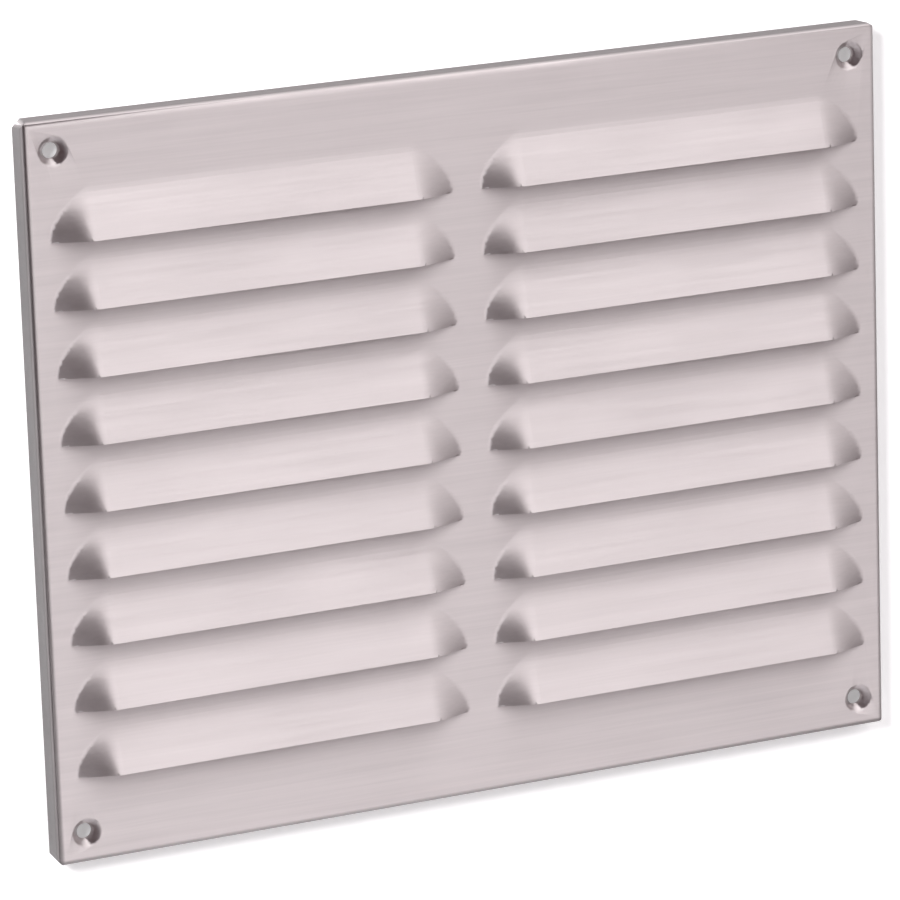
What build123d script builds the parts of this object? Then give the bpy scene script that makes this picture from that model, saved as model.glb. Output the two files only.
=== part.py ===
from build123d import *
import math
import os

# Louvred vent grille, pressed and folded from one aluminium sheet.
# Millimetres. +X to the right, +Z up, the face looks along -Y.
# Origin: centre of the four screw holes, in the plane where their walls end at the rear.

# Sheet and outline
sheet = 0.8               # thickness of the sheet
width = 250.0             # over the folded sides
height = 200.0            # over the folded top and bottom
depth = 7.0               # from the flat face back to the rear rim
bend_inside = 1.2         # inside radius of the four folds
corner_cut_face = 1.4     # corner taken off between two folds, at the face
corner_cut_rim = 2.2      # the same cut at the rear rim, a little wider

# Louvres
pitch = 18.0              # from one slit down to the next
land = 5.0                # flat strip between a slit and the hood below it
lip = 4.0                 # how far a hood's lip stands in front of the face
top_margin = 19.1         # face above the highest hood
bottom_margin = 19.0      # least face below the lowest slit
side_margin = 6.2         # from the outside of a fold to a slit's end
column_gap = 8.0          # face between the two columns of slits
end_run = 10.5            # length of a hood's closed, rounded end, along its slit
hood_bend = 13.0          # radius of the soft bend from the face into a hood, at the front

# Screw holes in pressed countersinks
screw_hole = 4.2          # diameter of the through hole
dish_mouth = 8.5          # diameter of the countersink at the face
dish_angle = 90.0         # full angle of the countersink
hole_wall = 0.8           # length of the straight wall of the hole
hole_inset = 8.3          # from the outside of a fold to a hole's centre

# Sizes that follow: the sheet
half_dish_angle = math.radians(dish_angle / 2)
cone_depth = (dish_mouth - screw_hole) / 2 / math.tan(half_dish_angle)
foot_depth = cone_depth + hole_wall
face = -foot_depth
back = face + sheet
rim = face + depth
bend_outside = bend_inside + sheet

# Sizes that follow: the louvres
hood_rise = pitch - land
hood_slope = math.atan2(lip, hood_rise)
slit_length = (width - column_gap) / 2 - side_margin
straight_length = slit_length - 2 * end_run
column_middle = (column_gap + slit_length) / 2
slit_room = height - top_margin - hood_rise - bottom_margin
row_count = int(slit_room / pitch) + 1
first_slit = height / 2 - top_margin - hood_rise

# Sizes that follow: the rounded ends of a hood, turned about an axis through the lip's inner edge
end_slope = math.atan2(lip, end_run)
axis_tilt = end_slope - hood_slope
inner_lip = -lip + sheet / math.cos(hood_slope)
end_axis = Axis((0, inner_lip, 0), (0, math.cos(axis_tilt), math.sin(axis_tilt)))

# Sizes that follow: the screw holes
dish_rim = dish_mouth / 2 + sheet
hole_x = width / 2 - hole_inset
hole_z = height / 2 - hole_inset


def rounded_block(block_width, block_height, front, radius):
    """Block from a front plane back to the rim, with its four front edges rounded."""
    block = Pos(0, (front + rim) / 2, 0) * Box(block_width, rim - front, block_height)
    return fillet(block.faces().sort_by(Axis.Y)[0].edges(), radius)


def hood_section(inset, bend, foot, heel):
    """Upright section from foot to heel under a skin: its slope, the bend and the face above."""
    corner = (inset, hood_rise - inset * math.tan(hood_slope / 2))
    top = (inset, pitch)
    outline = FilletPolyline(foot, corner, top, heel, radius=[0, bend, 0, 0], close=True)
    return Plane.YZ * make_face(outline)


def hood_form(inset, bend):
    """What a skin covers: a straight middle, and ends that turn down to the face as cones."""
    lip_edge = -lip + inset / math.cos(hood_slope)
    low = (lip_edge - lip * math.tan(hood_slope), -lip)
    section = hood_section(inset, bend, low, (2 * lip, -lip))
    middle = Pos(-straight_length / 2, 0, 0) * extrude(section, straight_length)
    apex = end_axis.position - end_axis.direction * (sheet - inset) / math.cos(end_slope)
    deep = end_axis.position + end_axis.direction * 3 * lip
    end_section = hood_section(inset, bend, (apex.Y, apex.Z), (deep.Y, deep.Z))
    end = revolve(end_section, axis=end_axis, revolution_arc=180)
    end = Pos(straight_length / 2, 0, 0) * end
    in_front = (Align.CENTER, Align.MAX, Align.MIN)
    room = Pos(0, inset, 0) * Box(2 * slit_length, 3 * lip, 2 * pitch, align=in_front)
    return (middle + end + mirror(end, Plane.YZ)) & room


def slit_places():
    """X and Z of the middle of every slit, row by row."""
    places = []
    for row in range(row_count):
        for x in (-column_middle, column_middle):
            places.append((x, first_slit - row * pitch))
    return places


def dish():
    """Sheet of one pressed countersink, with its through hole along Y."""
    hole = screw_hole / 2
    mouth = dish_mouth / 2
    back_shift = sheet / math.sin(half_dish_angle)
    back_mouth = mouth + (back_shift - sheet) * math.tan(half_dish_angle)
    back_foot = mouth + (back_shift - foot_depth) * math.tan(half_dish_angle)
    points = [
        (hole, cone_depth),
        (mouth, 0),
        (dish_rim, 0),
        (dish_rim, sheet),
        (back_mouth, sheet),
        (back_foot, foot_depth),
        (hole, foot_depth),
    ]
    return revolve(make_face(Polyline(*points, close=True)), axis=Axis.Y)


def corner_wedge(side_x, side_z):
    """Wedge that takes off one corner between two folds, widening towards the rim."""
    spare = 1.0
    widening = (corner_cut_rim - corner_cut_face) / depth
    sections = []
    for y in (face - spare, rim + spare):
        cut = corner_cut_face + widening * (y - face)
        points = []
        for in_x, in_z in ((-spare, -spare), (cut + spare, -spare), (-spare, cut + spare)):
            points.append((side_x * (width / 2 - in_x), y, side_z * (height / 2 - in_z)))
        sections.append(make_face(Polyline(*points, close=True)))
    return loft(sections, ruled=True)


def louvre_panel():
    """The whole grille: folded tray, pressed hoods, cut corners and screw holes."""
    outside = rounded_block(width, height, face, bend_outside)
    inside = rounded_block(width - 2 * sheet, height - 2 * sheet, back, bend_inside)
    hood = hood_form(0, hood_bend)
    hollow = hood_form(sheet, 0)
    outside += [Pos(x, face, z) * hood for x, z in slit_places()]
    inside += [Pos(x, face, z) * hollow for x, z in slit_places()]
    panel = outside - inside
    disc = Rot(90, 0, 0) * Cylinder(dish_rim, depth)
    for side_x in (-1, 1):
        for side_z in (-1, 1):
            hole_centre = Pos(side_x * hole_x, face, side_z * hole_z)
            panel -= corner_wedge(side_x, side_z)
            panel -= hole_centre * disc
            panel += hole_centre * dish()
    return panel


os.makedirs("parts", exist_ok=True)
export_step(louvre_panel(), "parts/louvre_panel.step")
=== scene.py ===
import math

import bmesh
import bpy
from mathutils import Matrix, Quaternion, Vector
from mathutils.bvhtree import BVHTree


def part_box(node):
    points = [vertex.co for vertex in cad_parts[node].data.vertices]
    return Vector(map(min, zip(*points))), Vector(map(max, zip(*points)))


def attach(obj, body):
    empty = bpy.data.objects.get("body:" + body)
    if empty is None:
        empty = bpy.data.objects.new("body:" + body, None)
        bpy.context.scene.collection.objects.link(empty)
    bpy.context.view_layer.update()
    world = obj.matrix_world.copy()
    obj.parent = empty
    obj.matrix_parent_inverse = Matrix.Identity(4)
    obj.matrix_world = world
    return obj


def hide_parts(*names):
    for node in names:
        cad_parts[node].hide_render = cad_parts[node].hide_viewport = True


# Louvred vent grille: satin aluminium in front of a white studio wall.
# Metres. +X to the right, +Z up, the louvred face looks along -Y.

# Louvres: where the hoods are on the sheet, and the shape of their pressed ends
face_y = -0.00295
back_y = -0.00215
hood_columns = ((-0.1188, -0.0040), (0.0040, 0.1188))
lowest_slit = -0.0761
pitch = 0.018
row_count = 9
hood_top = 0.015           # from a slit up to the end of the hood's bend
foot_room = 0.003          # soft foot of a hood past its slit's ends
end_reach = 0.0125         # from a slit's end to where the hood is straight
arch_power = 1.8           # how steeply an end's outline starts above the slit
arch_round = 0.9           # how round that outline is at the top
crown = 5                  # how late an end rounds off into the slope

# Mesh: how the hoods are cut up and joined again
cut_step = 0.00077         # from one cut to the next
cut_width = 1e-7           # points this near a cut are on it
same = 1e-6                # places this near each other are one place
sliver = 1e-5              # points of a reshaped hood nearer than this become one
ray_shift = 2e-5           # heights are read this far inside a hood's edges
square_on = 0.99999        # a face this square to an axis is flat sheet
crease = math.radians(30)  # sharper edges than this stay sharp

# Camera
aim = Vector((-0.0074, -0.0030, -0.0023))   # point at the middle of the picture
azimuth = math.radians(-24.96)
elevation = math.radians(14.34)
roll = math.radians(-1.88)
camera_distance = 1.498
lens = 223.35
sensor = 36.0

# Stage
wall_gap = 0.0005          # wall behind the grille's rear rim
wall_width = 1.6
wall_height = 1.6
floor_drop = 0.60          # floor below the grille
floor_depth = 1.2          # in front of the wall, and behind it
floor_roughness = 0.9
white = (0.86, 0.86, 0.87, 1)
wall_glow = 0.30           # share of the wall's white that needs no lamp

# Light: a dim room, a tall soft light in front on the right that is brighter above, and a lamp for the wall
room_colour = (0.064, 0.037, 0.041, 1)
light_colour = (1.0, 0.975, 0.978, 1)
light_from = math.radians(-1.5)    # left edge, turned to the right from straight in front
light_to = math.radians(78)        # right edge
left_softness = 0.04
right_softness = 0.32
light_low = (-0.10, 0.06)          # height of a direction, and the light's strength there
light_high = (0.80, 2.6)
lamp_place = (-1.1, -1.0, 0.75)
lamp_size = 0.45
lamp_watts = 32

# Metal
aluminium = (0.84, 0.785, 0.79, 1)
satin = 0.43               # middle roughness
spread = 1.0               # how much wider reflections spread across the grain than along it
across_grain = (0, 0.3, 1)
# Painted shade on the four folded rims, standing in for their dim reflections: where it starts and ends,
# and how dark
side_fold = (0.1232, 0.1250)       # from the middle to where the side folds start and end
top_fold = (0.0993, 0.1000)
bottom_fold = (0.0982, 0.1000)
painted_rim_tone = 0.27           # painted shade: the folded rims' colour is darkened to this share of the face's

# Finish: how fine each noise is, how it stretches along the axes, and what it changes
noise_span = (0.3, 0.7)    # where most of a noise's values lie
grain_scale = 1500
grain_stretch = (0.02, 1, 1)
grain_detail = 4
streak_scale = 320
streak_stretch = (0.05, 1, 1)
blotch_scale = 45
blotch_stretch = (0.6, 1, 1)
wave_scale = 14
grain_tone = 0.94          # darkest tone of each, out of 1
streak_tone = 0.95
blotch_tone = 0.96
grain_rough = 0.04         # change of roughness, up and down
blotch_rough = 0.03
grain_height = 0.02        # out of the waves' height
bump_strength = 0.5
bump_depth = 0.0002


def node(tree, kind, **settings):
    """One shader node with its properties set."""
    made = tree.nodes.new(kind)
    for name, value in settings.items():
        setattr(made, name, value)
    return made


def maths(tree, operation, first, second):
    """A Math node; each side is a number or a socket."""
    made = node(tree, "ShaderNodeMath", operation=operation)
    for socket, value in zip(made.inputs, (first, second)):
        if isinstance(value, (int, float)):
            socket.default_value = value
        else:
            tree.links.new(value, socket)
    return made.outputs[0]


def noise(tree, place, scale, stretch=(1, 1, 1), detail=3.0):
    """Noise over the object's own coordinates, stretched along the axes, about 0 to 1."""
    mapping = node(tree, "ShaderNodeMapping")
    mapping.inputs["Scale"].default_value = stretch
    tree.links.new(place, mapping.inputs["Vector"])
    made = node(tree, "ShaderNodeTexNoise")
    made.inputs["Scale"].default_value = scale
    made.inputs["Detail"].default_value = detail
    tree.links.new(mapping.outputs["Vector"], made.inputs["Vector"])
    return made.outputs["Fac"]


def remap(tree, value, low, high):
    """A noise's values spread over a range."""
    made = node(tree, "ShaderNodeMapRange")
    made.inputs["From Min"].default_value, made.inputs["From Max"].default_value = noise_span
    made.inputs["To Min"].default_value = low
    made.inputs["To Max"].default_value = high
    tree.links.new(value, made.inputs["Value"])
    return made.outputs["Result"]


def painted_fold_shade(tree, place, fold):
    """Full tone on the face, going down across a fold to the painted shade of the folded rim."""
    made = node(tree, "ShaderNodeMapRange")
    made.inputs["From Min"].default_value, made.inputs["From Max"].default_value = fold
    made.inputs["To Min"].default_value = 1.0
    made.inputs["To Max"].default_value = painted_rim_tone
    tree.links.new(place, made.inputs["Value"])
    return made.outputs["Result"]


def painted_rim_shade(tree, place):
    """Tone of the whole sheet: full on the face, with painted shade on its four folded rims."""
    parts = node(tree, "ShaderNodeSeparateXYZ")
    tree.links.new(place, parts.inputs["Vector"])
    right = parts.outputs["X"]
    up = parts.outputs["Z"]
    left = maths(tree, "MULTIPLY", right, -1.0)
    down = maths(tree, "MULTIPLY", up, -1.0)
    sides = maths(tree, "MULTIPLY", painted_fold_shade(tree, left, side_fold), painted_fold_shade(tree, right, side_fold))
    ends = maths(tree, "MULTIPLY", painted_fold_shade(tree, up, top_fold), painted_fold_shade(tree, down, bottom_fold))
    return maths(tree, "MULTIPLY", sides, ends)


def satin_aluminium():
    """Rolled aluminium sheet: fine grain and streaks along X, faint blotches and slight waviness, with
    painted shade on the folded rims.
    """
    material = bpy.data.materials.new("aluminium_sheet")
    material.use_nodes = True
    tree = material.node_tree
    shader = tree.nodes["Principled BSDF"]
    shader.inputs["Base Color"].default_value = aluminium
    shader.inputs["Metallic"].default_value = 1.0
    shader.inputs["Roughness"].default_value = satin
    shader.inputs["Anisotropic"].default_value = spread
    across = node(tree, "ShaderNodeCombineXYZ")
    for socket, value in zip(across.inputs, across_grain):
        socket.default_value = value
    tree.links.new(across.outputs["Vector"], shader.inputs["Tangent"])

    place = node(tree, "ShaderNodeTexCoord").outputs["Object"]
    grain = noise(tree, place, grain_scale, grain_stretch, grain_detail)
    streak = noise(tree, place, streak_scale, streak_stretch)
    blotch = noise(tree, place, blotch_scale, blotch_stretch)
    wave = noise(tree, place, wave_scale)

    shade = node(tree, "ShaderNodeMixRGB", blend_type="MULTIPLY")
    shade.inputs["Fac"].default_value = 1.0
    shade.inputs["Color1"].default_value = aluminium
    # Tone: painted shade on the folded rims, times the real grain, streaks and blotches
    tone = painted_rim_shade(tree, place)
    for pattern, darkest in ((grain, grain_tone), (streak, streak_tone), (blotch, blotch_tone)):
        tone = maths(tree, "MULTIPLY", tone, remap(tree, pattern, darkest, 1.0))
    tree.links.new(tone, shade.inputs["Color2"])
    tree.links.new(shade.outputs["Color"], shader.inputs["Base Color"])

    fine_rough = remap(tree, grain, satin - grain_rough, satin + grain_rough)
    broad_rough = remap(tree, blotch, -blotch_rough, blotch_rough)
    tree.links.new(maths(tree, "ADD", fine_rough, broad_rough), shader.inputs["Roughness"])

    height = maths(tree, "ADD", maths(tree, "MULTIPLY", grain, grain_height), wave)
    bump = node(tree, "ShaderNodeBump")
    bump.inputs["Strength"].default_value = bump_strength
    bump.inputs["Distance"].default_value = bump_depth
    tree.links.new(height, bump.inputs["Height"])
    tree.links.new(bump.outputs["Normal"], shader.inputs["Normal"])
    return material


def hood_boxes():
    """Left end, right end and slit height of every hood."""
    for row in range(row_count):
        for left, right in hood_columns:
            yield left, right, lowest_slit + row * pitch


def steps(start, reach):
    """Places from a start, a cut apart."""
    return [start + n * cut_step for n in range(1, int(reach / cut_step) + 1)]


def hood_faces(shape, left, right, slit):
    """The faces of one hood's two skins and lip, without the flat sheet round it."""
    found = []
    for side in shape.faces:
        places = [corner.co for corner in side.verts]
        if any(p.x < left - foot_room or p.x > right + foot_room for p in places):
            continue
        if any(p.z < slit - same or p.z > slit + hood_top for p in places):
            continue
        flat = all(abs(p.y - face_y) < same for p in places)
        flat = flat or all(abs(p.y - back_y) < same for p in places)
        if not flat:
            found.append(side)
    return found


def cut_up(shape, sides, left, right, slit):
    """Cuts one hood up, so that its ends can be shaped, and gives its points."""
    parts = list({edge for side in sides for edge in side.edges})
    parts += list({corner for side in sides for corner in side.verts}) + sides
    cuts = [((x, 0, 0), (1, 0, 0)) for x in steps(left, end_reach)]
    cuts += [((right - step, 0, 0), (1, 0, 0)) for step in steps(0, end_reach)]
    cuts += [((0, 0, z), (0, 0, 1)) for z in steps(slit, hood_top)]
    for place, across in cuts:
        done = bmesh.ops.bisect_plane(
            shape, geom=parts, dist=cut_width, plane_co=place, plane_no=across)
        parts = done["geom"]
    return [part for part in parts if isinstance(part, bmesh.types.BMVert)]


def end_share(along, up):
    """Share of the slope's height at a place in a hood's end, along the slit and above it."""
    rise = min(max(up / hood_top, 0.0), 1.0) ** arch_power
    outline = end_reach * (1 - (1 - rise) ** arch_round)
    if along <= outline:
        return 0.0
    share = (along - outline) / (end_reach - outline)
    return (crown * share - share**crown) / (crown - 1)


def front_height(skin, x, z):
    """How far the CAD sheet's front stands out from the face at a place."""
    place = skin.ray_cast(Vector((x, -1, z + ray_shift)), Vector((0, 1, 0)))[0]
    return face_y - place.y if place else 0.0


def press_ends(corners, skin, left, right, slit):
    """Moves one hood's points so that its two ends are smooth half domes."""
    middle = (left + right) / 2
    for corner in corners:
        x, y, z = corner.co
        along = min(x - left, right - x)
        on_sheet = abs(y - face_y) < same or abs(y - back_y) < same
        on_sheet = on_sheet or (z - slit < same and y > face_y - same)
        if on_sheet or along >= end_reach:
            continue
        inward = math.copysign(ray_shift, middle - x)
        front = face_y - front_height(skin, x + inward, z)
        wanted = face_y - front_height(skin, middle, z) * end_share(along, z - slit)
        on_front = abs(y - front) < (back_y - face_y) / 2
        corner.co.y = wanted if on_front else min(y + wanted - front, back_y)


def pressed_panel(cad):
    """The sheet with rounder hood ends than the CAD's cones, at most 0.6 mm from them."""
    shape = bmesh.new()
    shape.from_mesh(cad.data)
    bmesh.ops.remove_doubles(shape, verts=shape.verts, dist=same)
    skin = BVHTree.FromBMesh(shape)
    for left, right, slit in hood_boxes():
        corners = cut_up(shape, hood_faces(shape, left, right, slit), left, right, slit)
        press_ends(corners, skin, left, right, slit)
        bmesh.ops.remove_doubles(shape, verts=corners, dist=sliver)
    mesh = bpy.data.meshes.new("pressed_panel")
    shape.to_mesh(mesh)
    shape.free()

    for side in mesh.polygons:
        side.use_smooth = max(abs(part) for part in side.normal) < square_on
    mesh.set_sharp_from_angle(angle=crease)
    panel = bpy.data.objects.new("pressed_panel", mesh)
    bpy.context.collection.objects.link(panel)
    even = panel.modifiers.new("even_normals", "WEIGHTED_NORMAL")
    even.keep_sharp = True
    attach(panel, "root")
    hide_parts(cad.name)
    return panel


def white_wall():
    """White from the front, with the object's shadow on it, and clear from behind."""
    material = bpy.data.materials.new("studio_wall")
    material.use_nodes = True
    tree = material.node_tree
    tree.nodes.remove(tree.nodes["Principled BSDF"])
    diffuse = node(tree, "ShaderNodeBsdfDiffuse")
    diffuse.inputs["Color"].default_value = white
    glow = node(tree, "ShaderNodeEmission")
    path = node(tree, "ShaderNodeLightPath").outputs
    seen = maths(tree, "MAXIMUM", path["Is Camera Ray"], path["Is Glossy Ray"])
    seen = maths(tree, "MAXIMUM", seen, path["Is Transmission Ray"])
    tree.links.new(maths(tree, "MULTIPLY", seen, wall_glow), glow.inputs["Strength"])
    front = node(tree, "ShaderNodeAddShader")
    tree.links.new(diffuse.outputs[0], front.inputs[0])
    tree.links.new(glow.outputs[0], front.inputs[1])
    clear = node(tree, "ShaderNodeBsdfTransparent")
    sides = node(tree, "ShaderNodeMixShader")
    tree.links.new(node(tree, "ShaderNodeNewGeometry").outputs["Backfacing"], sides.inputs["Fac"])
    tree.links.new(front.outputs[0], sides.inputs[1])
    tree.links.new(clear.outputs[0], sides.inputs[2])
    tree.links.new(sides.outputs[0], tree.nodes["Material Output"].inputs["Surface"])
    return material


def pale_floor():
    """Plain pale floor."""
    material = bpy.data.materials.new("studio_floor")
    material.use_nodes = True
    shader = material.node_tree.nodes["Principled BSDF"]
    shader.inputs["Base Color"].default_value = white
    shader.inputs["Roughness"].default_value = floor_roughness
    return material


def sheet_of(name, corners, material):
    """One flat four-cornered stage surface."""
    mesh = bpy.data.meshes.new(name)
    mesh.from_pydata(corners, [], [(0, 1, 2, 3)])
    mesh.materials.append(material)
    surface = bpy.data.objects.new(name, mesh)
    bpy.context.collection.objects.link(surface)


def wall_lamp(place, size, watts):
    """Soft lamp for the wall and floor alone; the metal shows the room instead."""
    lamp = bpy.data.lights.new("wall_lamp", "AREA")
    lamp.size = size
    lamp.energy = watts
    made = bpy.data.objects.new("wall_lamp", lamp)
    made.location = place
    made.rotation_euler = (-Vector(place)).to_track_quat("-Z", "Y").to_euler()
    made.visible_glossy = False
    bpy.context.collection.objects.link(made)


def side_of(tree, look, angle, softness):
    """One where a direction is to the right of an angle, nought to its left, soft between."""
    turn = node(tree, "ShaderNodeVectorMath", operation="DOT_PRODUCT")
    turn.inputs[1].default_value = (math.cos(angle), math.sin(angle), 0)
    tree.links.new(look, turn.inputs[0])
    fade = node(tree, "ShaderNodeMapRange", interpolation_type="SMOOTHSTEP")
    fade.inputs["From Min"].default_value = -softness
    fade.inputs["From Max"].default_value = softness
    tree.links.new(turn.outputs["Value"], fade.inputs["Value"])
    return fade.outputs["Result"]


def studio_world():
    """Dim warm room with one tall soft light in front on the right."""
    world = bpy.data.worlds.new("studio")
    bpy.context.scene.world = world
    world.use_nodes = True
    tree = world.node_tree
    room = tree.nodes["Background"]
    room.inputs["Color"].default_value = room_colour
    look = node(tree, "ShaderNodeTexCoord").outputs["Generated"]
    parts = node(tree, "ShaderNodeSeparateXYZ")
    tree.links.new(look, parts.inputs["Vector"])
    climb = node(tree, "ShaderNodeMapRange")
    climb.inputs["From Min"].default_value, climb.inputs["To Min"].default_value = light_low
    climb.inputs["From Max"].default_value, climb.inputs["To Max"].default_value = light_high
    tree.links.new(parts.outputs["Z"], climb.inputs["Value"])
    past_left = side_of(tree, look, light_from, left_softness)
    past_right = side_of(tree, look, light_to, right_softness)
    inside = maths(tree, "MAXIMUM", maths(tree, "SUBTRACT", past_left, past_right), 0.0)
    strength = maths(tree, "MULTIPLY", inside, climb.outputs["Result"])
    light = node(tree, "ShaderNodeBackground")
    light.inputs["Color"].default_value = light_colour
    tree.links.new(strength, light.inputs["Strength"])
    both = node(tree, "ShaderNodeAddShader")
    tree.links.new(room.outputs[0], both.inputs[0])
    tree.links.new(light.outputs[0], both.inputs[1])
    tree.links.new(both.outputs[0], tree.nodes["World Output"].inputs["Surface"])


def photo_camera():
    """Camera at the photograph's angle."""
    back = Vector((
        math.sin(azimuth) * math.cos(elevation),
        -math.cos(azimuth) * math.cos(elevation),
        math.sin(elevation),
    ))
    data = bpy.data.cameras.new("camera")
    data.lens = lens
    data.sensor_width = sensor
    camera = bpy.data.objects.new("camera", data)
    camera.location = aim + back * camera_distance
    level = (-back).to_track_quat("-Z", "Y")
    camera.rotation_mode = "QUATERNION"
    camera.rotation_quaternion = level @ Quaternion((0, 0, 1), roll)
    bpy.context.collection.objects.link(camera)
    bpy.context.scene.camera = camera


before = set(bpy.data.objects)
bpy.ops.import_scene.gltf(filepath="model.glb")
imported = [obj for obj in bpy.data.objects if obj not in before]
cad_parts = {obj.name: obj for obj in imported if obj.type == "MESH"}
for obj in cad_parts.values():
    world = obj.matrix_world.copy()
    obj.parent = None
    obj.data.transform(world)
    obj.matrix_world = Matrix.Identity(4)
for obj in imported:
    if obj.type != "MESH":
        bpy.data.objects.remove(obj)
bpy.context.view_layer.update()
bpy.context.scene.view_settings.view_transform = "Standard"

panel = pressed_panel(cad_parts["louvre_panel"])
panel.data.materials.clear()
panel.data.materials.append(satin_aluminium())

low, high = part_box("louvre_panel")
wall_y = high[1] + wall_gap
floor_z = low[2] - floor_drop
wall_x = wall_width / 2
wall_top = floor_z + wall_height
sheet_of("wall", [
    (-wall_x, wall_y, floor_z),
    (wall_x, wall_y, floor_z),
    (wall_x, wall_y, wall_top),
    (-wall_x, wall_y, wall_top),
], white_wall())
sheet_of("floor", [
    (-wall_x, wall_y - floor_depth, floor_z),
    (wall_x, wall_y - floor_depth, floor_z),
    (wall_x, wall_y + floor_depth, floor_z),
    (-wall_x, wall_y + floor_depth, floor_z),
], pale_floor())

studio_world()
wall_lamp(lamp_place, lamp_size, lamp_watts)
photo_camera()
